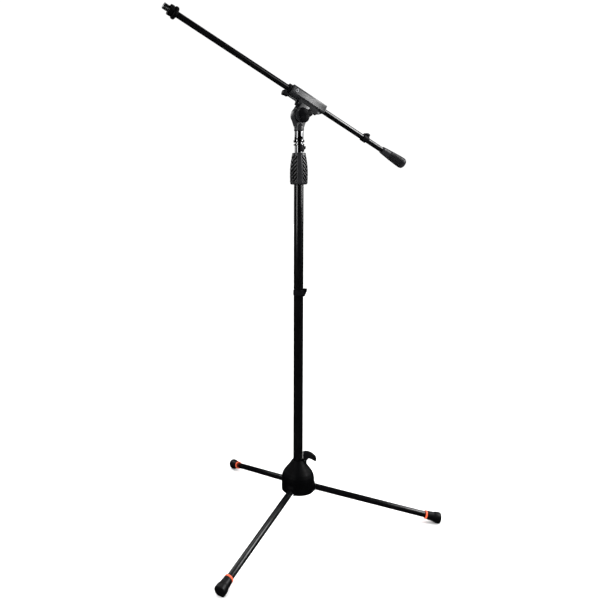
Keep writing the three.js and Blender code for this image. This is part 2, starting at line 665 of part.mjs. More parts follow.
addPart('boom_liner', makeBoomLiner(), BLACK_NYLON, clampFrame);
addPart('boom_tube', boomPipe(BOOM_R - BOOM_WALL, BOOM_R, BOOM_TIP, BOOM_TAIL), BLACK_PAINT, clampFrame);
addPart('tip_stub', makeTipStub(), STEEL, clampFrame);
addPart('end_collar', makeEndCollar(), CAST_BLACK, clampFrame);
addPart('lock_ring', makeLockRing(), CAST_BLACK, clampFrame);
addPart('tail_grip', makeTailGrip(), RUBBER, clampFrame);
const boomClip = makeCableClip(BOOM_R, 18, 20, 4, 33);
placeClip('boom_clip', boomClip, clampFrame, [BOOM_CLIP_X, 0, BOOM_OFFSET], [180, 90, 0]);

export default stand;
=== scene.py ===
"""Looks of the boom microphone stand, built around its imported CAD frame.

Lengths are in millimetres of a piece's own frame; add_object turns them into metres. Lights, the camera and
textures are in metres.
"""

import json
import math

import bmesh
import bpy
import numpy as np
from mathutils import Matrix, Vector


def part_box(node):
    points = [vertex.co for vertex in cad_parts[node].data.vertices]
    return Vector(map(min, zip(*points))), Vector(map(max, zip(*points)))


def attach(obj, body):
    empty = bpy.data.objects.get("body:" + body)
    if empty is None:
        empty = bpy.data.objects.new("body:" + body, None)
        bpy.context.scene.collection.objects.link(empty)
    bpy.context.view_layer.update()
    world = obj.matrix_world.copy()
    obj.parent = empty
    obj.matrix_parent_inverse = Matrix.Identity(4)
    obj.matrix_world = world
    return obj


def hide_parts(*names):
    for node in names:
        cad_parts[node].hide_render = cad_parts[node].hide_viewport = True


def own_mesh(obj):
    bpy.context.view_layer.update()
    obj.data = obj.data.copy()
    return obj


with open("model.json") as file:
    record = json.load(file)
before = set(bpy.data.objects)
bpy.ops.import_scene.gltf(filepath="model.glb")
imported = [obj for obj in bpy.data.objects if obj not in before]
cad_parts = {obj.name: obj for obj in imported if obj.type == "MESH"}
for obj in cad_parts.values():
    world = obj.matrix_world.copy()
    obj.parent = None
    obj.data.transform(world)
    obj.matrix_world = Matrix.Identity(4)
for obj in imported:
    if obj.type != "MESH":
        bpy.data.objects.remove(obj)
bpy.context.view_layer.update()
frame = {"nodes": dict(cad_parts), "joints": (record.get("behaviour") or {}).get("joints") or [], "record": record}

MM = 0.001
TINY = 1e-6
JOINTS = {j["name"]: j for j in frame["joints"]}
NODES = frame["nodes"]
PLACES = ("rear", "right", "front")

GAP = 0.3
COLUMN_BORE, COLUMN_R = 11.5, 12.7
COLUMN_BOTTOM, COLUMN_TOP = 92, 948
MAST_BORE, MAST_R = 9.8, 11
MAST_BOTTOM, MAST_TOP = 135, 1000
LEG_BORE, LEG_R = 6.8, 8
LEG_START, LEG_END = 9.6, 346
BOOM_BORE, BOOM_R = 6.3, 7.5
BOOM_TIP, BOOM_TAIL = -402, 352
BOOM_OFFSET = 48
THREAD_R = 7.9
THREAD_PITCH = 0.94
THREAD_DEPTH = 0.55
THREAD_RUNOUT = 1.2


# ---- frames of the pieces -------------------------------------------------------------------------


def middle(node):
    """The centre of a CAD node's box, in metres."""
    low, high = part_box(node)
    return (low + high) / 2


def turned(axis, degrees):
    """A rotation about X, Y or Z."""
    return Matrix.Rotation(math.radians(degrees), 4, axis)


COLUMN = Matrix.Translation((middle("column_tube").x, middle("column_tube").y, 0))
TIP_WAY = Vector(JOINTS["boom_slide"]["axis"])
BOOM_TILT = math.degrees(math.atan2(TIP_WAY.z, -TIP_WAY.x))
CLAMP = Matrix.Translation(JOINTS["boom_tilt"]["pos_m"]) @ turned("Y", BOOM_TILT)
Z_TO_X = turned("Y", 90)
BOOM = CLAMP @ Matrix.Translation((0, 0, BOOM_OFFSET * MM)) @ Z_TO_X


def leg_azimuth(place):
    """Where a leg points, in degrees about the column."""
    out = Vector(JOINTS[f"leg_{place}_fold"]["pos_m"]) - COLUMN.translation
    return math.degrees(math.atan2(out.y, out.x))


def leg_frame(place):
    """Z runs down the leg from its pin."""
    pin = Vector(JOINTS[f"leg_{place}_fold"]["pos_m"])
    foot = middle(f"leg_tube_{place}") - pin
    slope = math.atan2(-foot.z, math.hypot(foot.x, foot.y))
    return Matrix.Translation(pin) @ turned("Z", leg_azimuth(place)) @ Matrix.Rotation(slope, 4, "Y") @ Z_TO_X


def near_axis(x, z):
    """A frame whose Z points to -Y, the side of the knob, at a spot of the clamp."""
    return CLAMP @ Matrix.Translation((x * MM, 0, z * MM)) @ turned("X", 90)


PIVOT_LINE = near_axis(0, 0)
PIN_X, PIN_Z = 45, 32.2
PIN_LINE = near_axis(PIN_X, PIN_Z)
SCREW_LINE = near_axis(-41, 47.5)


# ---- mesh helpers ---------------------------------------------------------------------------------

SHARP_ANGLE = 34
BEVEL_ANGLE = 40
STRAIGHT_ANGLE = math.radians(172)
CORNER_SHARE = 0.48


def smooth_step(low, high, value):
    """0 below low, 1 above high and a smooth rise between them."""
    t = np.clip((value - low) / (high - low), 0, 1)
    return t * t * (3 - 2 * t)


def rectangle(u_low, u_high, v_low, v_high):
    return [(u_low, v_low), (u_high, v_low), (u_high, v_high), (u_low, v_high)]


def rounded(points, radius, steps=3):
    """A closed outline with its corners turned into arcs. A third value of a point is its own radius."""
    result = []
    count = len(points)
    for i, point in enumerate(points):
        corner = Vector(point[:2])
        before = Vector(points[i - 1][:2]) - corner
        after = Vector(points[(i + 1) % count][:2]) - corner
        size = point[2] if len(point) > 2 else radius
        shortest = min(before.length, after.length)
        if size <= 0 or shortest < TINY or before.angle(after) > STRAIGHT_ANGLE:
            result.append(tuple(corner))
            continue
        reach = min(size / math.tan(before.angle(after) / 2), shortest * CORNER_SHARE)
        start = corner + before.normalized() * reach
        end = corner + after.normalized() * reach
        for k in range(steps + 1):
            t = k / steps
            result.append(tuple(start.lerp(corner, t).lerp(corner.lerp(end, t), t)))
    return result


def arc(u, v, radius, start, end, steps):
    """Points along an arc about (u, v), from one angle to another in degrees."""
    angles = [math.radians(start + (end - start) * i / steps) for i in range(steps + 1)]
    return [(u + radius * math.cos(a), v + radius * math.sin(a)) for a in angles]


def dense(points, longest):
    """An open outline with extra points, none further apart than asked."""
    result = [tuple(points[0])]
    for a, b in zip(points, points[1:]):
        a, b = Vector(a), Vector(b)
        count = max(1, math.ceil((b - a).length / longest))
        result += [tuple(a.lerp(b, k / count)) for k in range(1, count + 1)]
    return result


def mark_sharp(mesh, angle=SHARP_ANGLE):
    """Smooth shading, with edges sharper than the angle kept crisp."""
    bm = bmesh.new()
    bm.from_mesh(mesh)
    bmesh.ops.recalc_face_normals(bm, faces=bm.faces)
    limit = math.radians(angle)
    for face in bm.faces:
        face.smooth = True
    for edge in bm.edges:
        edge.smooth = len(edge.link_faces) == 2 and edge.calc_face_angle(0) < limit
    bm.to_mesh(mesh)
    bm.free()


def add_object(name, vertices, faces, place, angle=SHARP_ANGLE):
    """A new object; its vertices are in the frame called place."""
    mesh = bpy.data.meshes.new(name)
    points = np.asarray(vertices, float) * MM
    mesh.from_pydata(points.tolist(), [], faces)
    mesh.transform(place)
    mesh.validate()
    mark_sharp(mesh, angle)
    made = bpy.data.objects.new(name, mesh)
    bpy.context.scene.collection.objects.link(made)
    return made


def loft(name, rings, place, round_trip=False, angle=SHARP_ANGLE):
    """A skin over rings of points. A ring of one point is a pole; round_trip joins the last to the first."""
    vertices, starts, faces = [], [], []
    for ring in rings:
        starts.append(len(vertices))
        vertices += list(ring)
    pairs = list(zip(range(len(rings)), range(1, len(rings))))
    if round_trip:
        pairs.append((len(rings) - 1, 0))
    for one, two in pairs:
        a, b, count = starts[one], starts[two], max(len(rings[one]), len(rings[two]))
        for i in range(count):
            j = (i + 1) % count
            if len(rings[one]) == 1:
                faces.append((a, b + i, b + j))
            elif len(rings[two]) == 1:
                faces.append((a + i, b, a + j))
            else:
                faces.append((a + i, b + i, b + j, a + j))
    if not round_trip:
        for index in (0, len(rings) - 1):
            if len(rings[index]) > 1:
                faces.append(tuple(range(starts[index], starts[index] + len(rings[index]))))
    return add_object(name, vertices, faces, place, angle)


def lathe(name, outline, place, segments=72, bevel=0.3, swell=None, angle=SHARP_ANGLE):
    """Revolves a closed outline of (radius, height) about Z. swell gives the radius at each angle."""
    angles = np.arange(segments) * 2 * math.pi / segments
    touches_axis = any(p[0] < TINY for p in outline)
    points = rounded(outline, bevel) if bevel else [tuple(p[:2]) for p in outline]
    if touches_axis:
        first = next(i for i, p in enumerate(points) if max(p[0], points[i - 1][0]) < TINY)
        points = points[first:] + points[:first]
    rings = []
    for radius, height in points:
        if radius < TINY:
            rings.append([(0, 0, height)])
            continue
        radii = np.full(segments, radius)
        if swell:
            radii = swell(angles, height, radius)
        xs, ys = radii * np.cos(angles), radii * np.sin(angles)
        rings.append([(x, y, height) for x, y in zip(xs, ys)])
    return loft(name, rings, place, round_trip=not touches_axis, angle=angle)


def pipe(name, bore, radius, start, end, place, segments=72, bevel=0.3):
    """A round tube, or a rod where its bore is 0."""
    return lathe(name, rectangle(bore, radius, start, end), place, segments, bevel)


def drill(name, radius, start, end, place, segments=48):
    """A plain cylinder to cut with."""
    return lathe(name, rectangle(0, radius, start, end), place, segments, bevel=0)


def bevel_edges(made, width, segments):
    """Rounds the sharp edges of an object's mesh."""
    bm = bmesh.new()
    bm.from_mesh(made.data)
    limit = math.radians(BEVEL_ANGLE)
    sharp = [e for e in bm.edges if len(e.link_faces) == 2 and e.calc_face_angle(0) > limit]
    bmesh.ops.bevel(
        bm, geom=sharp, offset=width * MM, segments=segments, profile=0.5, affect="EDGES", clamp_overlap=True
    )
    bm.to_mesh(made.data)
    bm.free()
    mark_sharp(made.data)
    return made


def prism(name, outline, start, end, place, along="z", bevel=0.8, steps=3, segments=3):
    """An outline given depth: along z the outline is (x, y), along y it is (x, z), along x it is (y, z)."""
    points = rounded(outline, bevel, steps) if steps else [tuple(p[:2]) for p in outline]

    def spot(p, depth):
        if along == "z":
            return (p[0], p[1], depth)
        if along == "y":
            return (p[0], depth, p[1])
        return (depth, p[0], p[1])

    rings = [[spot(p, start) for p in points], [spot(p, end) for p in points]]
    made = loft(name, rings, place)
    return bevel_edges(made, bevel, segments) if bevel else made


def punch(name, outline, start, end, place, along="z"):
    """A plain prism to cut with."""
    return prism(name, outline, start, end, place, along, bevel=0, steps=0)


def combine(made, others, operation):
    """Boolean of an object with others, which are removed."""
    for other in others:
        change = made.modifiers.new("change", "BOOLEAN")
        change.operation, change.object, change.solver = operation, other, "EXACT"
    graph = bpy.context.evaluated_depsgraph_get()
    mesh = bpy.data.meshes.new_from_object(made.evaluated_get(graph))
    made.modifiers.clear()
    old, made.data = made.data, mesh
    bpy.data.meshes.remove(old)
    mesh.name = made.name
    for other in others:
        mesh = other.data
        bpy.data.objects.remove(other)
        bpy.data.meshes.remove(mesh)
    mark_sharp(made.data)
    return made


def cut(made, *others):
    return combine(made, others, "DIFFERENCE")


def unite(made, *others):
    return combine(made, others, "UNION")


def fit(made, body, material, slot, *replaced):
    """Gives a new piece its material and its body and hides the CAD nodes it stands for; the slot argument is not
    used.
    """
    made.data.materials.clear()
    made.data.materials.append(material)
    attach(made, body)
    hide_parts(*replaced)
    return made


# ---- materials ------------------------------------------------------------------------------------

NOISE_ROUGHNESS = 0.55
# Painted shade in the grip grooves: a near-black colour and low shine, mixed in by groove depth.
GROOVE_SHADE_MASK = "groove_depth"
GROOVE_SHADE_COLOR = (0.001, 0.001, 0.001, 1)
GROOVE_SHADE_SHINE = 0.03
MIX_FACTOR, MIX_BASE, MIX_OTHER, MIX_RESULT = 0, 6, 7, 2


class Shader:
    """A Principled material with helpers for its procedural nodes. Texture scales are per metre."""

    def __init__(self, name, color, roughness, metallic=0.0, specular=0.5):
        self.material = bpy.data.materials.new(name)
        self.material.use_nodes = True
        self.tree = self.material.node_tree
        self.shader = self.tree.nodes["Principled BSDF"]
        self.set("Base Color", (*color, 1))
        self.set("Roughness", roughness)
        self.set("Metallic", metallic)
        self.set("Specular IOR Level", specular)
        self.place = self.tree.nodes.new("ShaderNodeTexCoord").outputs["Object"]
        self.normal = None

    def set(self, socket, value):
        self.shader.inputs[socket].default_value = value

    def link(self, source, target):
        self.tree.links.new(source, target)

    def stretched(self, scale):
        node = self.tree.nodes.new("ShaderNodeMapping")
        node.inputs["Scale"].default_value = scale
        self.link(self.place, node.inputs["Vector"])
        return node.outputs["Vector"]

    def noise(self, scale, detail, stretch=None):
        node = self.tree.nodes.new("ShaderNodeTexNoise")
        node.inputs["Scale"].default_value = scale
        node.inputs["Detail"].default_value = detail
        node.inputs["Roughness"].default_value = NOISE_ROUGHNESS
        self.link(self.stretched(stretch) if stretch else self.place, node.inputs["Vector"])
        return node.outputs["Fac"]

    def cells(self, scale):
        node = self.tree.nodes.new("ShaderNodeTexVoronoi")
        node.inputs["Scale"].default_value = scale
        self.link(self.place, node.inputs["Vector"])
        return node.outputs["Distance"]

    def ranged(self, value, low, high, to_low, to_high):
        node = self.tree.nodes.new("ShaderNodeMapRange")
        ends = {"From Min": low, "From Max": high, "To Min": to_low, "To Max": to_high}
        for socket, number in ends.items():
            node.inputs[socket].default_value = number
        self.link(value, node.inputs["Value"])
        return node.outputs["Result"]

    def tint(self, value, stops):
        """Colours the surface by a value, from stops of (position, colour)."""
        node = self.tree.nodes.new("ShaderNodeValToRGB")
        ramp = node.color_ramp
        while len(ramp.elements) < len(stops):
            ramp.elements.new(0.5)
        for element, (position, color) in zip(ramp.elements, stops):
            element.position, element.color = position, (*color, 1)
        self.link(value, node.inputs["Fac"])
        self.link(node.outputs["Color"], self.shader.inputs["Base Color"])

    def paint_groove_shade(self, attribute, shine):
        """Paints shade: takes colour and shine away where the mesh attribute is high."""
        depth = self.tree.nodes.new("ShaderNodeAttribute")
        depth.attribute_name = attribute
        color = self.shader.inputs["Base Color"]
        mix = self.tree.nodes.new("ShaderNodeMix")
        mix.data_type = "RGBA"
        self.link(color.links[0].from_socket, mix.inputs[MIX_BASE])
        mix.inputs[MIX_OTHER].default_value = GROOVE_SHADE_COLOR
        self.link(depth.outputs["Fac"], mix.inputs[MIX_FACTOR])
        self.link(mix.outputs[MIX_RESULT], color)
        level = self.ranged(depth.outputs["Fac"], 0, 1, shine, GROOVE_SHADE_SHINE)
        self.link(level, self.shader.inputs["Specular IOR Level"])

    def rough(self, value, low, high, smooth, dull):
        """Roughness from smooth to dull as the value goes from low to high."""
        self.link(self.ranged(value, low, high, smooth, dull), self.shader.inputs["Roughness"])

    def bump(self, value, strength, distance):
        node = self.tree.nodes.new("ShaderNodeBump")
        node.inputs["Strength"].default_value = strength
        node.inputs["Distance"].default_value = distance
        self.link(value, node.inputs["Height"])
        if self.normal:
            self.link(self.normal, node.inputs["Normal"])
        self.normal = node.outputs["Normal"]
        self.link(self.normal, self.shader.inputs["Normal"])


def black_paint():
    """Gloss powder coat: a faint orange peel, small rubbed patches and dust."""
    s = Shader("black_paint", (0.003, 0.003, 0.0035), 0.2, specular=0.5)
    s.tint(s.noise(38, 4), [(0.3, (0.0012, 0.0012, 0.0015)), (0.75, (0.0026, 0.0026, 0.003))])
    s.rough(s.noise(22, 5, stretch=(1, 1, 0.35)), 0.35, 0.7, 0.16, 0.25)
    s.bump(s.noise(900, 2), 0.05, 0.0004)
    return s.material


def cast_black():
    """Satin black on castings: fine grain and slightly rubbed high spots."""
    s = Shader("cast_black", (0.001, 0.001, 0.0014), 0.42, specular=0.11)
    s.tint(s.noise(60, 5), [(0.3, (0.0006, 0.0006, 0.0009)), (0.8, (0.0013, 0.0013, 0.0019))])
    s.rough(s.noise(130, 4), 0.3, 0.75, 0.42, 0.62)
    s.bump(s.noise(1500, 3), 0.16, 0.0004)
    return s.material


def cast_grey():
    """Satin grey paint on the clamp and knuckle castings."""
    s = Shader("cast_grey", (0.014, 0.0145, 0.016), 0.3, specular=0.6)
    s.tint(s.noise(45, 5), [(0.3, (0.013, 0.0135, 0.015)), (0.75, (0.017, 0.0175, 0.019))])
    s.rough(s.noise(60, 3), 0.3, 0.75, 0.3, 0.34)
    s.bump(s.noise(1400, 3), 0.02, 0.0003)
    return s.material


def chrome():
    """Bright plating with faint draw marks."""
    s = Shader("chrome", (0.2, 0.203, 0.207), 0.12, metallic=1.0)
    s.tint(s.noise(14, 3), [(0.3, (0.18, 0.183, 0.187)), (0.75, (0.23, 0.233, 0.237))])
    s.rough(s.noise(90, 4, stretch=(1, 1, 0.2)), 0.35, 0.75, 0.06, 0.15)
    s.bump(s.noise(700, 2), 0.02, 0.0003)
    return s.material


def steel():
    """Plain zinc-plated steel."""
    s = Shader("steel", (0.12, 0.122, 0.126), 0.3, metallic=1.0)
    s.tint(s.noise(70, 5), [(0.3, (0.1, 0.102, 0.106)), (0.75, (0.15, 0.153, 0.157))])
    s.rough(s.noise(260, 4), 0.3, 0.75, 0.25, 0.42)
    s.bump(s.noise(1800, 2), 0.06, 0.0003)
    return s.material


def black_nylon():
    """Moulded nylon with a fine spark-eroded grain."""
    s = Shader("black_nylon", (0.003, 0.003, 0.0036), 0.36, specular=0.06)
    s.tint(s.noise(50, 4), [(0.3, (0.002, 0.002, 0.0026)), (0.75, (0.0045, 0.0045, 0.0054))])
    s.rough(s.noise(180, 4), 0.3, 0.75, 0.34, 0.52)
    s.bump(s.cells(1500), 0.12, 0.0003)
    return s.material


def rubber():
    """Dull rubber with a fine grain and a slight grey bloom."""
    s = Shader("rubber", (0.0025, 0.0025, 0.003), 0.4, specular=0.3)
    s.tint(s.noise(42, 5), [(0.3, (0.0016, 0.0016, 0.002)), (0.8, (0.0038, 0.0038, 0.0044))])
    s.rough(s.noise(150, 4), 0.3, 0.75, 0.34, 0.5)
    s.bump(s.noise(1300, 3), 0.2, 0.0004)
    return s.material


def grip_rubber(name, shine):
    """Smooth satin rubber with painted shade in its grooves, near black and with little shine."""
    s = Shader(name, (0.014, 0.014, 0.016), 0.34, specular=shine)
    s.tint(s.noise(42, 5), [(0.3, (0.01, 0.01, 0.0115)), (0.8, (0.017, 0.017, 0.0195))])
    s.rough(s.noise(150, 4), 0.3, 0.75, 0.3, 0.4)
    s.paint_groove_shade(GROOVE_SHADE_MASK, shine)
    return s.material


def orange():
    """Orange plastic with a satin grain."""
    s = Shader("orange_trim", (0.72, 0.1, 0.035), 0.38, specular=0.5)
    s.tint(s.noise(120, 4), [(0.3, (0.64, 0.08, 0.028)), (0.75, (0.8, 0.125, 0.045))])
    s.rough(s.noise(260, 3), 0.3, 0.75, 0.3, 0.46)
    s.bump(s.noise(1500, 2), 0.1, 0.0003)
    return s.material


def brass():
    """Turned brass, slightly tarnished."""
    s = Shader("brass", (0.6, 0.42, 0.17), 0.3, metallic=1.0)
    s.tint(s.noise(90, 4), [(0.3, (0.52, 0.36, 0.14)), (0.75, (0.68, 0.49, 0.21))])
    s.rough(s.noise(240, 3), 0.3, 0.75, 0.22, 0.4)
    return s.material


LOOK = {
    "black_paint": black_paint(),
    "cast_black": cast_black(),
    "cast_grey": cast_grey(),
    "chrome": chrome(),
    "steel": steel(),
    "black_nylon": black_nylon(),
    "rubber": rubber(),
    "orange_trim": orange(),
    "brass": brass(),
}
GRIP_LOOK = grip_rubber("grip_rubber", 0.6)
TAIL_LOOK = grip_rubber("tail_rubber", 0.2)

# Carried-over CAD nodes take the look of their record slot.
for part in frame["record"]["subparts"]:
    node = NODES[part["node"]]
    node.data.materials.clear()
    node.data.materials.append(LOOK[part["material_slot"]])


def place_piece(made, body, slot, *replaced):
    return fit(made, body, LOOK[slot], slot, *replaced)


# ---- column and mast ------------------------------------------------------------------------------

column = pipe("column_tube_skin", COLUMN_BORE, COLUMN_R, COLUMN_BOTTOM, COLUMN_TOP, COLUMN, 96)
place_piece(column, "base", "black_paint", "column_tube")

mast = pipe("mast_tube_skin", MAST_BORE, MAST_R, MAST_BOTTOM, MAST_TOP, COLUMN, 96)
place_piece(mast, "mast", "chrome", "mast_tube")


# ---- twist grip: three smooth panels with slanting ribs between ------------------------------------

GRIP_PANELS = 3
GRIP_PANEL_AZIMUTH = -118
GRIP_PANEL_HALF = 18
GRIP_RIB_PITCH = 10.6
GRIP_RIB_SLANT = 1.05
GRIP_RIB_DEPTH = 2.2
GRIP_STEP_DEPTH = 0.45
GRIP_INNER_R = 15.9
GRIP_RIBS_START = (903, 906)
GRIP_RIBS_END = (971, 974)


def grip_relief(angles, height, radius):
    """Slanting grooves between the smooth panels, and a shallow step along each panel's edge."""
    if radius <= GRIP_INNER_R:
        return np.full(len(angles), radius)
    sector = 360 / GRIP_PANELS
    away = (np.degrees(angles) - GRIP_PANEL_AZIMUTH + sector / 2) % sector - sector / 2
    from_panel = np.abs(away) - GRIP_PANEL_HALF
    along = np.radians(np.maximum(from_panel, 0)) * radius
    wave = np.cos(2 * math.pi * (height + GRIP_RIB_SLANT * along) / GRIP_RIB_PITCH)
    groove = smooth_step(-0.35, 0.45, -wave)
    inside = smooth_step(0.5, 3.5, from_panel)
    ends = smooth_step(*GRIP_RIBS_START, height) * (1 - smooth_step(*GRIP_RIBS_END, height))
    step = GRIP_STEP_DEPTH * smooth_step(-2.5, 0, from_panel) * (1 - smooth_step(0, 2.5, from_panel))
    return radius - ends * (GRIP_RIB_DEPTH * groove * inside + step)


def note_grooves(made, side, place, depth):
    """Writes each point's depth below the smooth side of a lathed piece into a mesh attribute, the mask of the
    painted groove shade.
    """
    heights, radii = np.array([p[1] for p in side]), np.array([p[0] for p in side])
    order = np.argsort(heights)
    back = place.inverted()
    marks = made.data.attributes.new(GROOVE_SHADE_MASK, "FLOAT", "POINT")
    for vertex, mark in zip(made.data.vertices, marks.data):
        spot = back @ vertex.co / MM
        smooth = np.interp(spot.z, heights[order], radii[order])
        mark.value = min(max((smooth - math.hypot(spot.x, spot.y)) / depth, 0), 1)


GRIP_BORE, GRIP_SKIRT_BORE = 13.2, 16.2
SKIRT_TOP, GRIP_NECK = 964, 967
grip_outline = [
    (GRIP_SKIRT_BORE, 901, 0.4), (19.5, 899, 1.5), (22, 900.5, 1.5), (23, 905, 4), (23.4, 922, 8),
    (23.2, 937, 8), (22.2, 950, 8), (20.4, 963, 6), (18.4, 975, 3), (17.9, 979.2, 1), (17, 980.5, 0.8),
    (GRIP_BORE, 980.5, 0), (GRIP_BORE, GRIP_NECK, 0), (GRIP_SKIRT_BORE, SKIRT_TOP, 0),
]
outer_side = dense(rounded(grip_outline, 2, 4)[1:-3], 0.7)
inner_side = [
    (GRIP_BORE, 980.1), (GRIP_BORE, GRIP_NECK), (GRIP_SKIRT_BORE, SKIRT_TOP), (GRIP_SKIRT_BORE, 901.4),
]
grip = lathe("twist_grip_ribbed", outer_side + inner_side, COLUMN, 300, bevel=0, swell=grip_relief, angle=60)
# The groove depth masks the painted shade in the twist grip's grooves.
note_grooves(grip, outer_side, COLUMN, GRIP_RIB_DEPTH)
fit(grip, "grip", GRIP_LOOK, "rubber", "twist_grip")


# ---- hub ------------------------------------------------------------------------------------------

HUB_R = 43.3
SKIRT_R, BOSS_LIMIT = 41.2, 128
BOSS_OUT = 2.9
BOSS_SIDE = (8.5, 14)
BOSS_TOP = (101, 112)
# In radians; it keeps the tangent finite on the far side.
FACING = 1.2


def hub_bosses(angles, height, radius):
    """A rounded boss around each leg grows out of the bell."""
    result = np.full(len(angles), float(radius))
    if radius < SKIRT_R or height > BOSS_LIMIT:
        return result
    for place in PLACES:
        away = (angles - math.radians(leg_azimuth(place)) + math.pi) % (2 * math.pi) - math.pi
        side = np.abs(np.tan(np.clip(away, -FACING, FACING))) * HUB_R
        swell = (1 - smooth_step(*BOSS_SIDE, side)) * (1 - smooth_step(*BOSS_TOP, height))
        result += swell * BOSS_OUT
    return result


bell_outside = dense(rounded([
    (41.6, 86), (HUB_R, 87, 1.5), (HUB_R, 119.5, 8), (41.8, 127.5, 6), (38.2, 135.5, 6), (30, 146.5, 4),
    (21.6, 157, 6), (16.4, 165.2), (14.9, 166.5), (13.3, 166.5),
], 1.2, 4)[4:-5], 1.6)
bell_inside = [
    (13.2, 166.2), (13.2, 162.5), (18, 156.2), (27.2, 144.8), (35.4, 134), (39.1, 126.6), (40.7, 119),
    (40.7, 86.2), (41.4, 86),
]
bell = lathe("hub_bell", bell_outside + bell_inside, COLUMN, 240, bevel=0, swell=hub_bosses)
LEG_WAY = LEG_R + 0.9
ways = []
for spot in PLACES:
    ways.append(drill(f"way_{spot}", LEG_WAY, 5, 40, leg_frame(spot)))
    around = COLUMN @ turned("Z", leg_azimuth(spot))
    ways.append(punch(f"slot_{spot}", rectangle(30, 60, -LEG_WAY, LEG_WAY), 80, 92, around))
RELEASE = COLUMN @ turned("Z", leg_azimuth("right"))
ways.append(punch("stem_slot", rectangle(17.2, 23.5, -5.6, 5.6), 140, 170, RELEASE))
bell = cut(bell, *ways)
place_piece(bell, "base", "cast_black", "hub_cover")


# ---- release: a spring under the bell and the hook beside the column --------------------------------


def coil_rings(radius, wire, bottom, top, turns, steps, sides):
    """Rings of a round wire wound about Z."""
    around = np.arange(sides) * 2 * math.pi / sides
    rings = []
    for t in np.linspace(0, 1, steps + 1):
        angle, height = 2 * math.pi * turns * t, bottom + (top - bottom) * t
        reach, lift = radius + wire * np.cos(around), height + wire * np.sin(around)
        rings.append([(r * math.cos(angle), r * math.sin(angle), z) for r, z in zip(reach, lift)])
    return rings


SPRING_WIRE = 0.85
SPRING_ROOM = 0.9
SPRING_RADIUS = 25.2
SPRING_TURNS = 4
spring_low, spring_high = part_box("latch_spring")
spring_ends = spring_low.z / MM + SPRING_ROOM, spring_high.z / MM - SPRING_ROOM
spring_coil = coil_rings(SPRING_RADIUS, SPRING_WIRE, *spring_ends, SPRING_TURNS, steps=160, sides=14)
spring = loft("latch_spring_coil", spring_coil, COLUMN)
place_piece(spring, "base", "steel", "latch_spring")
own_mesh(spring)

hook_outline = [
    (13.5, 168, 0.6), (13.5, 185, 1.2), (15.4, 187.3, 2), (20, 188.1, 4), (27, 187.7, 8), (35, 184.5, 8),
    (42, 179.9, 6), (47, 175.3, 3), (48.7, 171.9, 3), (48.7, 167.7, 2), (47, 165.3, 1.6), (44.4, 165.1, 2),
    (39, 168.1, 6), (33.5, 170.9, 6), (29, 172.5, 3), (26.4, 171.7, 3), (24.6, 168, 0.6),
]
hook = prism("release_hook", hook_outline, -8, 8, RELEASE, along="y", bevel=0.9, segments=4)
place_piece(hook, "release", "black_nylon", "finger_hook")


# ---- legs -----------------------------------------------------------------------------------------


def foot_on_floor(made):
    """Presses the part of a foot that would go under the floor flat onto it."""
    for vertex in made.data.vertices:
        vertex.co.z = max(vertex.co.z, 0)
    return made


ON_LEG = LEG_R + GAP
COLLAR_R = 10.8
TRIM_START, TRIM_END = 318.8, 323.6
FOOT_START, FOOT_END = TRIM_END + GAP, 359.5
FOOT_DISH = FOOT_END - 0.6
FOOT_SEAT = LEG_END + 1.5
FOOT_OUTLINE = [
    (ON_LEG, FOOT_START, 0.2), (COLLAR_R, FOOT_START, 0.5), (11.1, 331, 3), (11.9, 341, 4), (13.3, 345, 2),
    (14.1, 350, 3), (14.3, 356.8, 1.2), (14, 358.6, 0.8), (13.1, FOOT_END, 0.6), (9, FOOT_END, 0.5),
    (8.4, FOOT_DISH, 0.5), (0, FOOT_DISH, 0), (0, FOOT_SEAT, 0), (ON_LEG, FOOT_SEAT, 0.3),
]

for spot in PLACES:
    leg = leg_frame(spot)
    body = f"leg_{spot}"
    tube = pipe(f"leg_tube_{spot}_skin", LEG_BORE, LEG_R, LEG_START, LEG_END, leg, 64)
    place_piece(tube, body, "black_paint", f"leg_tube_{spot}")
    ring = pipe(f"leg_trim_{spot}_ring", ON_LEG, COLLAR_R, TRIM_START, TRIM_END, leg, 64, bevel=1.1)
    place_piece(ring, body, "orange_trim", f"leg_trim_{spot}")
    foot = foot_on_floor(lathe(f"leg_foot_{spot}_boot", FOOT_OUTLINE, leg, 96, angle=50))
    place_piece(foot, body, "rubber", f"leg_foot_{spot}")


# ---- cable clips ----------------------------------------------------------------------------------

CLIP_ROOM = 0.4
CLIP_REACH = 2.8
CLIP_BEVEL = 0.45
LOOP_WALL = 1.8
LIP_TURN = 9
LIP_INSIDE = 4


def cable_clip(name, place, radius, height, loop_height, bore, mouth):
    """A snap-on clip: a sprung C with flared lips and an open cable loop, raked down to the C at one end.

    mouth is half the opening of the C and bore is the radius of the loop's hole.
    """
    inner, outer = radius + CLIP_ROOM, radius + CLIP_REACH
    loop_x = inner + 1.2 + bore
    lip_end = 180 - mouth
    lip, root = math.radians(lip_end), math.radians(lip_end - LIP_TURN)
    flare = ((0.995, root), (1.0, lip), (0.9, lip))
    tips = [(outer * k * math.cos(a), outer * k * math.sin(a)) for k, a in flare]
    ring = [
        *arc(0, 0, outer, LIP_TURN - lip_end, lip_end - LIP_TURN, 48),
        *tips,
        *arc(0, 0, inner, lip_end - LIP_INSIDE, LIP_INSIDE - lip_end, 48),
        *[(x, -y) for x, y in reversed(tips)],
    ]
    clip = prism(name, ring, -height / 2, height / 2, place, bevel=CLIP_BEVEL, steps=0)
    loop = [*arc(loop_x, 0, bore + LOOP_WALL, 196, 14, 30), *arc(loop_x, 0, bore, 16, 196, 30)]
    hook = prism(name + "_hook", loop, -loop_height / 2, loop_height / 2, place, bevel=CLIP_BEVEL, steps=0)
    top = loop_x + bore + 2
    low, high = -loop_height / 2 - 0.1, loop_height / 2 - 5
    rake = [(outer + 0.4, low), (top, high), (top + 4, high), (top + 4, low)]
    return unite(clip, cut(hook, punch(name + "_rake", rake, -20, 20, place, along="y")))


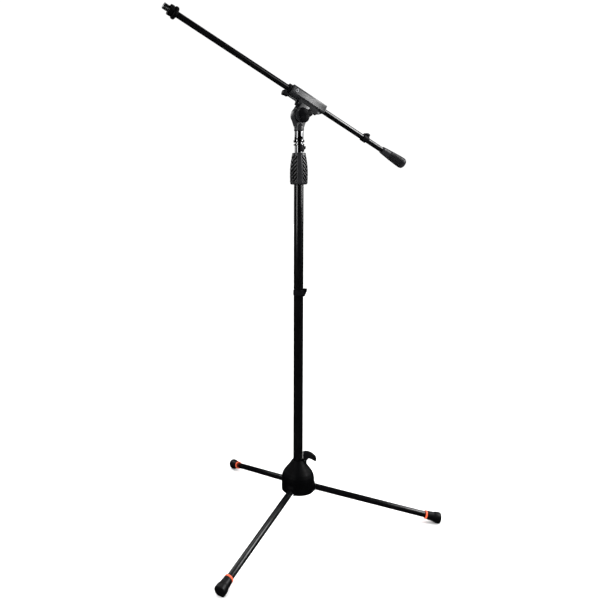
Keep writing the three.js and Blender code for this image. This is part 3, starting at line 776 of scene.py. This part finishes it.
COLUMN_CLIP = COLUMN @ Matrix.Translation((0, 0, 616 * MM)) @ turned("Z", -40)
MAST_CLIP = COLUMN @ Matrix.Translation((0, 0, 991.8 * MM))
BOOM_CLIP = BOOM @ Matrix.Translation((0, 0, 217 * MM)) @ turned("Z", 180)
clips = {
    "column": (COLUMN_CLIP, {"radius": COLUMN_R, "height": 13, "loop_height": 21, "bore": 3.2, "mouth": 33}),
    "mast": (MAST_CLIP, {"radius": MAST_R, "height": 15.6, "loop_height": 15.6, "bore": 4.2, "mouth": 68}),
    "boom": (BOOM_CLIP, {"radius": BOOM_R, "height": 18, "loop_height": 20, "bore": 4, "mouth": 33}),
}
for spot, (place, sizes) in clips.items():
    clip = cable_clip(f"{spot}_cable_clip", place, **sizes)
    place_piece(clip, f"{spot}_cable_clip", "black_nylon", f"{spot}_clip")


# ---- head -----------------------------------------------------------------------------------------


def thread_relief(bottom, top):
    """Cuts a 27 per inch thread into the outside of a piece."""

    def relief(angles, height, radius):
        if radius < THREAD_R - 0.1 or not bottom < height < top:
            return np.full(len(angles), radius)
        phase = (height / THREAD_PITCH - angles / (2 * math.pi)) % 1
        fade = min(1, (height - bottom) / THREAD_RUNOUT, (top - height) / THREAD_RUNOUT)
        return radius - THREAD_DEPTH * fade * np.abs(2 * phase - 1)

    return relief


def thread_side(start, end):
    """The straight side of a thread, in steps of a quarter of its pitch."""
    return dense([(THREAD_R, start), (THREAD_R, end)], THREAD_PITCH / 4)


STUB_THREAD, STUB_THREAD_END = 1008, 1046
SOCKET_BORE, SOCKET_TOP = 8.3, 1052.5
stub = lathe("mast_stub_turned", [
    (0, 974), (9.4, 974), (9.4, 1000.3), (13.6, 1000.3), (14.2, 1000.8), (14.2, 1003), (13.6, 1003.5),
    (11.2, 1003.5), (10.8, 1003.9), (10.8, 1007.6), (10.4, STUB_THREAD),
    *thread_side(STUB_THREAD, STUB_THREAD_END), (6.9, 1047), (0, 1047),
], COLUMN, 96, bevel=0, swell=thread_relief(STUB_THREAD + 0.2, STUB_THREAD_END))
place_piece(stub, "mast", "chrome", "mast_stub")

nut = pipe("jam_nut_turned", SOCKET_BORE, 14.3, 1008.3, 1014.3, COLUMN, 96, bevel=0.9)
place_piece(nut, "stub_nut", "chrome", "jam_nut")

socket = lathe("head_socket_turned", [
    (SOCKET_BORE, 1014.7), (11.9, 1014.7), (11.9, 1036.8), (9.5, 1036.8), (9.5, SOCKET_TOP),
    (SOCKET_BORE, SOCKET_TOP),
], COLUMN, 96, bevel=0.7)
place_piece(socket, "head", "chrome", "head_socket")

PIVOT_Z = JOINTS["boom_tilt"]["pos_m"][2] / MM
BOLT_BORE = 4.4
TONGUE_R, TONGUE_HALF = 21.3, 8
neck = lathe("neck", [
    (0, 1037.2, 0), (12, 1037.2, 0.6), (12.9, 1038.4, 0.6), (12.9, 1049, 2), (7.9, 1056.4, 1.5), (0, 1058, 0),
], COLUMN, 72)
tongue_outline = [(-11, 1046), (11, 1046), *arc(0, PIVOT_Z, TONGUE_R, -22, 202, 40)]
tongue = prism(
    "tilt_knuckle_cast", tongue_outline, -TONGUE_HALF, TONGUE_HALF, COLUMN, along="y", bevel=1.2, steps=0
)
tongue = unite(tongue, neck)
bolt_line = COLUMN @ Matrix.Translation((0, 0, PIVOT_Z * MM)) @ turned("X", 90)
tongue = cut(
    tongue,
    drill("socket_bore", 9.9, 1030, 1053, COLUMN),
    drill("bolt_bore", BOLT_BORE, -30, 30, bolt_line, 32),
)
place_piece(tongue, "head", "cast_grey", "tilt_knuckle")


# ---- boom clamp -----------------------------------------------------------------------------------

BLOCK_FRONT, BLOCK_BACK = -53.5, 59.5
BLOCK_UNDER = 37.3
BLOCK_TOP = BOOM_OFFSET + 11
JOINT_Z = BLOCK_UNDER + 0.5
# (depth from the face, inset) of the sections that round the block's ends.
BLOCK_CHAMFER = ((0, 1.1), (0.35, 0.45), (1.1, 0))
LINER_BORE = 9.35
BORE_CHAMFER = 0.55
EAR_R, EAR_HIGH = 18, 29
EAR_NEAR, EAR_FAR = 9.5, 14
LUG_NEAR, LUG_FAR = 5.4, 9
PIN_BORE = 2.1


def block_rings():
    """The block's skin from its front face to its back face, and back through the boom's bore."""
    low, high = BLOCK_UNDER, BLOCK_TOP
    section = rounded([
        (-13.4, low, 0.8), (13.4, low, 0.8), (16, low + 2.8, 0.8), (16, high, 1.7), (-16, high, 1.7),
        (-16, low + 2.8, 0.8),
    ], 1, 5)
    section = dense(section + section[:1], 2)[:-1]
    centre = Vector((0, BOOM_OFFSET))
    ways = [Vector(point) - centre for point in section]
    ends = [(BLOCK_FRONT + depth, inset) for depth, inset in BLOCK_CHAMFER]
    ends += [(BLOCK_BACK - depth, inset) for depth, inset in reversed(BLOCK_CHAMFER)]
    rings = [[(x, *(centre + way * (1 - inset / way.length))) for way in ways] for x, inset in ends]
    mouth = LINER_BORE + BORE_CHAMFER
    bore = [(BLOCK_BACK, mouth), (BLOCK_BACK - BORE_CHAMFER, LINER_BORE)]
    bore += [(BLOCK_FRONT + BORE_CHAMFER, LINER_BORE), (BLOCK_FRONT, mouth)]
    rings += [[(x, *(centre + way.normalized() * radius)) for way in ways] for x, radius in bore]
    return rings


def clamp_side(side):
    """The ear, the lever's rail and the pin's lug on one side of the block; side is 1 or -1."""
    near, far = sorted((side * EAR_NEAR, side * EAR_FAR))
    ear_outline = [(-13, EAR_HIGH), *arc(0, 0, EAR_R, 165, 400, 40), (15, EAR_HIGH)]
    ear = prism(f"ear_{side}", ear_outline, near, far, CLAMP, along="y", bevel=0.9, steps=0)
    rail_corners = ((6.5, JOINT_Z, 0), (6.5, 23.4, 0.6), (10.2, 23.4, 0.8), (13.3, JOINT_Z, 0))
    rail_section = [(side * y, z, radius) for y, z, radius in rail_corners]
    rail = prism(f"rail_{side}", rail_section, -20, 40, CLAMP, along="x", bevel=0.6)
    near, far = sorted((side * LUG_NEAR, side * LUG_FAR))
    lug_outline = [(39, JOINT_Z), (39, 30), *arc(PIN_X, PIN_Z, 4.4, 210, 360, 16), (51, JOINT_Z)]
    lug = prism(f"lug_{side}", lug_outline, near, far, CLAMP, along="y", bevel=0.5, steps=0)
    return ear, rail, lug


block = loft("boom_clamp_cast", block_rings(), CLAMP, round_trip=True)
block = unite(block, *clamp_side(1), *clamp_side(-1))
block = cut(
    block,
    drill("pivot_bore", BOLT_BORE, -30, 30, PIVOT_LINE, 32),
    drill("pin_bore", PIN_BORE, -30, 30, PIN_LINE, 24),
    drill("screw_bore", 2.6, 11.6, 30, SCREW_LINE, 24),
    drill("screw_seat", 6.6, 14.8, 30, SCREW_LINE),
    punch("shoe_window", rectangle(35.5, 50.5, -5.1, 5.1), 36, 43, CLAMP),
)
place_piece(block, "clamp", "cast_grey", "clamp_body")


def cross_outline(reach, half):
    """A cross with arms of that reach and half width."""
    corners = [(-reach, -half), (-half, -half), (-half, -reach)]
    result = []
    for _ in range(4):
        result += corners
        corners = [(-y, x) for x, y in corners]
    return result


screw = lathe("liner_screw_head", [
    (0, 11.9), (2.2, 11.9), (2.2, 15.2), (6.2, 15.2, 0.3), (6.2, 16.6, 0.8), (5.2, 17.4, 1), (0, 17.4),
], SCREW_LINE, 64)
screw = cut(screw, punch("cross", cross_outline(3.2, 0.55), 15.9, 20, SCREW_LINE @ turned("Z", 20)))
place_piece(screw, "clamp", "steel", "liner_screw")

for name, near, far in (("friction_washer_near", 8.3, 9.2), ("friction_washer_far", -9.2, -8.3)):
    washer = pipe(name + "_disc", 4.5, 19.5, near, far, PIVOT_LINE, 64, bevel=0.2)
    place_piece(washer, "clamp", "steel", name)

bolt = lathe("pivot_bolt_turned", [
    (0, 33), (4, 33, 0.6), (4, -14.3), (7.6, -14.3), (7.6, -18.4, 0.8), (6, -19.2, 0.6), (0, -19.2),
], PIVOT_LINE, 48)
bolt = cut(bolt, punch("socket_six", arc(0, 0, 3, 0, 300, 5), -22, -16.4, PIVOT_LINE))
place_piece(bolt, "clamp", "steel", "pivot_bolt")

liner = lathe("boom_liner_sleeve", [
    (7.9, -60.1, 0.5), (12.6, -60.1, 1.2), (12.6, -53.8, 0.6), (8.9, -53.8, 0.2), (8.9, 59), (7.9, 59),
], BOOM, 72, bevel=0.25)
place_piece(liner, "liner", "black_nylon", "boom_liner")


# ---- tilt knob ------------------------------------------------------------------------------------

KNOB_LOBES = 3
KNOB_TURN = 45
KNOB_R, KNOB_LOBE = 17.2, 4.3
KNOB_BACK, KNOB_FACE = 14.7, 39.9
# The boss's sections are (depth, radius), the lobes' are (depth, inset from the full outline).
KNOB_BOSS = ((KNOB_BACK, 9), (KNOB_BACK, 9.5), (19.8, 9.5))
KNOB_INSETS = (
    (20.1, 3.2), (20.8, 1), (22.4, 0.2), (26, 0), (30, 0), (33.5, 0.3), (36, 1.2), (38, 2.9), (39.2, 5.4),
    (39.8, 9), (KNOB_FACE, 11.5),
)


def knob_rings():
    """A round boss, then three broad lobes with a domed face."""
    angles = np.radians(np.arange(0, 360, 3))
    lobes = KNOB_R + KNOB_LOBE * np.cos(KNOB_LOBES * (angles - math.radians(KNOB_TURN)))
    sections = [(depth, np.full(len(angles), radius)) for depth, radius in KNOB_BOSS]
    sections += [(depth, lobes - inset) for depth, inset in KNOB_INSETS]
    rings = [[(0, 0, KNOB_BACK)]]
    for depth, radii in sections:
        rings.append([(r * math.cos(a), r * math.sin(a), depth) for r, a in zip(radii, angles)])
    return rings + [[(0, 0, KNOB_FACE)]]


knob = loft("tilt_knob_moulded", knob_rings(), PIVOT_LINE, angle=60)
knob = cut(knob, drill("knob_bore", 5.5, 10, 34, PIVOT_LINE))
place_piece(knob, "knob", "black_nylon", "tilt_knob")


# ---- brake lever ----------------------------------------------------------------------------------

LEVER_ROD_Z = 30.8
LEVER = CLAMP @ Matrix.Translation((0, 0, LEVER_ROD_Z * MM))
LEVER_LINE = LEVER @ Z_TO_X
shank = pipe("shank", 0, 2.4, -62, 44, LEVER_LINE, 40, bevel=0.5)
cam = pipe("clamp_lever_bar", 0, 3.6, -4.8, 4.8, PIN_LINE, 48, bevel=0.5)
cam = unite(cam, shank)
cam = cut(cam, drill("cam_bore", PIN_BORE, -20, 20, PIN_LINE, 24))
place_piece(cam, "lever", "chrome", "clamp_lever")

LEVER_TIP_HALF = 6.5
tip_outline = [
    (-52, -3.6, 1.5), (-52, 3.8, 1.2), (-61.2, 3.8, 1), (-62, 7.6, 1.5), (-63.4, 8.6, 1.5), (-66.6, 8.6, 2),
    (-68.8, 6.8, 2), (-69.6, 2, 3), (-68.8, -3, 3), (-67, -5.6, 2), (-64.6, -6, 2), (-61.6, -4, 3),
]
tip = prism(
    "lever_tip_moulded", tip_outline, -LEVER_TIP_HALF, LEVER_TIP_HALF, LEVER,
    along="y", bevel=1.1, segments=4,
)
place_piece(tip, "lever", "black_nylon", "lever_tip")


# ---- boom -----------------------------------------------------------------------------------------

boom = pipe("boom_tube_skin", BOOM_BORE, BOOM_R, BOOM_TIP, BOOM_TAIL, BOOM)
place_piece(boom, "boom", "black_paint", "boom_tube")

MIC_THREAD, MIC_THREAD_END = BOOM_TIP - 28, BOOM_TIP - 3
tip_stub = lathe("tip_stub_turned", [
    (0, BOOM_TIP - 29), (6.9, BOOM_TIP - 29), *thread_side(MIC_THREAD, MIC_THREAD_END),
    (BOOM_R, BOOM_TIP - 2.8), (BOOM_R, BOOM_TIP - GAP), (6, BOOM_TIP - GAP), (6, BOOM_TIP + 24),
    (0, BOOM_TIP + 24),
], BOOM, 96, bevel=0, swell=thread_relief(MIC_THREAD - 0.2, MIC_THREAD_END - 0.2))
place_piece(tip_stub, "boom", "steel", "tip_stub")

collar = lathe("end_collar_cast", [
    (7.8, BOOM_TIP - 2.8), (13.4, BOOM_TIP - 2.8, 1), (15.3, BOOM_TIP - 1.2, 2), (15.9, BOOM_TIP + 1.4, 2),
    (15.6, BOOM_TIP + 4.6, 2), (14, BOOM_TIP + 6.6, 2), (11, BOOM_TIP + 7.4, 1), (7.8, BOOM_TIP + 7.4),
], BOOM, 120, bevel=0.3)
place_piece(collar, "boom", "cast_black", "end_collar")

RING_LOBES = 9
RING_LOBE_DEPTH = 0.7


def ring_lobes(angles, height, radius):
    """Shallow finger lobes around the outside only."""
    if radius < 10:
        return np.full(len(angles), radius)
    return radius - RING_LOBE_DEPTH + RING_LOBE_DEPTH * np.cos(RING_LOBES * angles)


lock_ring = lathe("lock_ring_lobed", [
    (8.3, BOOM_TIP - 14.4), (13.6, BOOM_TIP - 14.4, 3), (13.6, BOOM_TIP - 3.2, 2.4), (8.3, BOOM_TIP - 3.2),
], BOOM, 180, bevel=0.4, swell=ring_lobes, angle=50)
place_piece(lock_ring, "mic_nut", "cast_black", "lock_ring")

TAIL_RIB_DEPTH = 0.7
TAIL_RIB_PITCH = 4.2
TAIL_RIB_AZIMUTH = -35
TAIL_RIBS_START = (306, 314)
TAIL_RIBS_END = (358, 364)
TAIL_BORE, TAIL_START, TAIL_SEAT, TAIL_END = 7.9, 284.3, 354, 372.1


def tail_ribs(angles, height, radius):
    """Fine ribs across the fatter half of the tail grip, on one side."""
    if radius < 9.2 or height > 368:
        return np.full(len(angles), radius)
    wave = smooth_step(-0.2, 0.6, math.cos(2 * math.pi * height / TAIL_RIB_PITCH))
    strength = smooth_step(*TAIL_RIBS_START, height) * (1 - smooth_step(*TAIL_RIBS_END, height))
    under = smooth_step(-0.1, 0.5, np.cos(angles - math.radians(TAIL_RIB_AZIMUTH)))
    return radius - TAIL_RIB_DEPTH * wave * strength * under


tail_side = dense(rounded([
    (TAIL_BORE, TAIL_START), (9.1, 284, 0.6), (10, 287, 3), (13, 322, 20), (15, 352, 10), (15.3, 365.6, 3),
    (14.4, 370.6, 1.6), (11.8, TAIL_END, 2), (0, TAIL_END),
], 0.5, 4)[4:-1], 0.7)
tail_outline = [(TAIL_BORE, TAIL_START), *tail_side, (0, TAIL_END), (0, TAIL_SEAT), (TAIL_BORE, TAIL_SEAT)]
tail = lathe("tail_grip_ribbed", tail_outline, BOOM, 160, bevel=0, swell=tail_ribs, angle=60)
# The groove depth masks the painted shade in the tail grip's ribs.
note_grooves(tail, tail_side, BOOM, TAIL_RIB_DEPTH)
fit(tail, "boom", TAIL_LOOK, "rubber", "tail_grip")


# ---- stage: floor, light and camera ----------------------------------------------------------------


def floor_material():
    material = bpy.data.materials.new("floor")
    material.use_nodes = True
    shader = material.node_tree.nodes["Principled BSDF"]
    shader.inputs["Base Color"].default_value = (0.92, 0.92, 0.92, 1)
    shader.inputs["Roughness"].default_value = 0.7
    shader.inputs["Specular IOR Level"].default_value = 0.2
    return material


FLOOR_HALF = 30
floor_mesh = bpy.data.meshes.new("floor")
floor_corners = rectangle(-FLOOR_HALF, FLOOR_HALF, -FLOOR_HALF, FLOOR_HALF)
floor_mesh.from_pydata([(x, y, 0) for x, y in floor_corners], [], [(0, 1, 2, 3)])
floor_mesh.materials.append(floor_material())
floor = bpy.data.objects.new("floor", floor_mesh)
bpy.context.scene.collection.objects.link(floor)
floor.visible_glossy = False


def soft_box(name, at, towards, size, power):
    """A rectangular light: places and sizes in metres, power in watts."""
    data = bpy.data.lights.new(name, "AREA")
    data.shape = "RECTANGLE"
    data.size, data.size_y = size
    data.energy = power
    light = bpy.data.objects.new(name, data)
    light.location = at
    light.rotation_mode = "QUATERNION"
    light.rotation_quaternion = (Vector(towards) - Vector(at)).to_track_quat("-Z", "Y")
    light.visible_camera = False
    bpy.context.scene.collection.objects.link(light)


soft_box("top_light", at=(0.5, 0.9, 2.9), towards=(0, 0, 0.4), size=(1.2, 1.2), power=10)
soft_box("left_light", at=(-2.35, -0.55, 1.5), towards=(0, -0.1, 0.9), size=(0.9, 1.1), power=14)
soft_box("near_light", at=(0.95, -1.88, 1.54), towards=(0, -0.1, 1.1), size=(0.7, 0.62), power=3.1)
soft_box("tail_light", at=(1.55, -1.5, 1.38), towards=(0.15, -0.1, 1.0), size=(0.5, 0.45), power=9)
soft_box("boom_light", at=(1.72, -1.05, 1.85), towards=(0.19, -0.1, 1.04), size=(0.7, 0.7), power=26)
soft_box("rim_light", at=(2.3, 0.15, 1.45), towards=(0, -0.1, 1.0), size=(0.5, 1.2), power=9)
soft_box("back_light", at=(-0.7, 2.4, 1.9), towards=(0, -0.1, 0.7), size=(1.2, 1.4), power=16)

sky_data = bpy.data.lights.new("sky_light", "SUN")
sky_data.energy = 1.6
sky_data.angle = math.radians(70)
sky = bpy.data.objects.new("sky_light", sky_data)
sky.visible_glossy = False
bpy.context.scene.collection.objects.link(sky)

world = bpy.data.worlds.new("studio")
bpy.context.scene.world = world
world.use_nodes = True
world.node_tree.nodes["Background"].inputs["Color"].default_value = (1, 1, 1, 1)
world.node_tree.nodes["Background"].inputs["Strength"].default_value = 1.05
world.cycles_visibility.glossy = False
bpy.context.scene.view_settings.view_transform = "Standard"

CAMERA_FROM_COLUMN = Vector((-0.8688, -1.3047, 0.8302))
CAMERA_AZIMUTH, CAMERA_PITCH, CAMERA_ROLL = 62, -3, -0.118
camera_data = bpy.data.cameras.new("photo_camera")
camera_data.sensor_width = 36
camera_data.lens = 35.73
camera_data.shift_x = 0.1005
camera_data.shift_y = -0.0963
camera_data.clip_start = 0.01
camera_data.clip_end = 100
camera = bpy.data.objects.new("photo_camera", camera_data)
camera.location = COLUMN.translation + CAMERA_FROM_COLUMN
camera.rotation_mode = "QUATERNION"
aim = turned("Z", CAMERA_AZIMUTH - 90) @ turned("X", 90 + CAMERA_PITCH) @ turned("Z", CAMERA_ROLL)
camera.rotation_quaternion = aim.to_quaternion()
bpy.context.scene.collection.objects.link(camera)
bpy.context.scene.camera = camera
